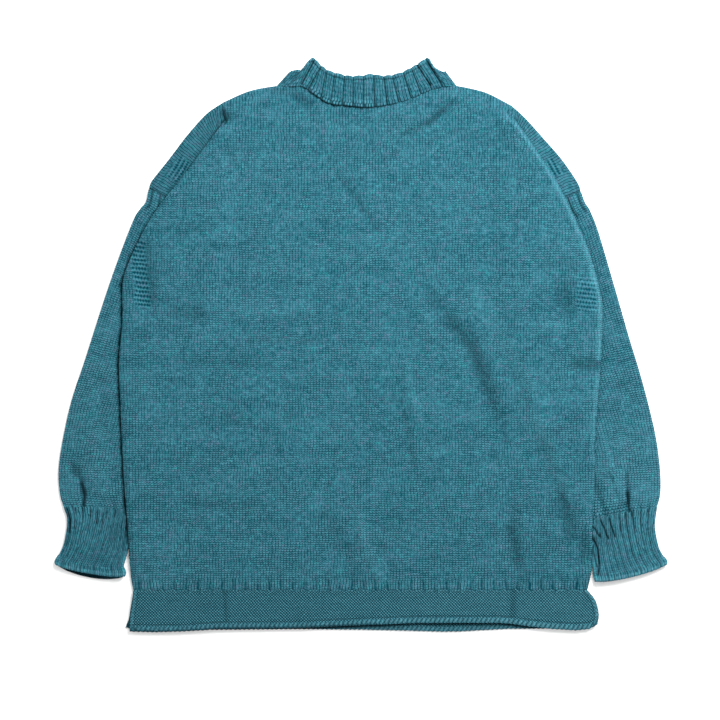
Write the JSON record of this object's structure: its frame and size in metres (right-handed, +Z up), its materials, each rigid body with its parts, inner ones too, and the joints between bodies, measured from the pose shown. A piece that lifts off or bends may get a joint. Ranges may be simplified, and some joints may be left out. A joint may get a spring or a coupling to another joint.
{
  "type": "guernsey fisherman sweater",
  "caption": "Guernsey sweater laid flat: pleated drop shoulders, sleeves tucked under the body, ribbed collar and cuffs, split moss-stitch welt.",
  "frame": {"origin": "on the surface the garment lies on, under the middle of its outline", "axes": "+X to the viewer's right across the chest, +Y towards the collar, +Z up out of the front"},
  "size_m": [0.7442, 0.699, 0.0097],
  "materials": {
    "wool": "teal marl worsted wool, tightly knitted, matt"
  },
  "bodies": {
    "root": {"front_panel": "wool", "back_panel": "wool", "front_welt": "wool", "back_welt": "wool", "sleeve_left": "wool", "sleeve_right": "wool", "cuff_left": "wool", "cuff_right": "wool", "collar": "wool"}
  },
  "joints": []
}
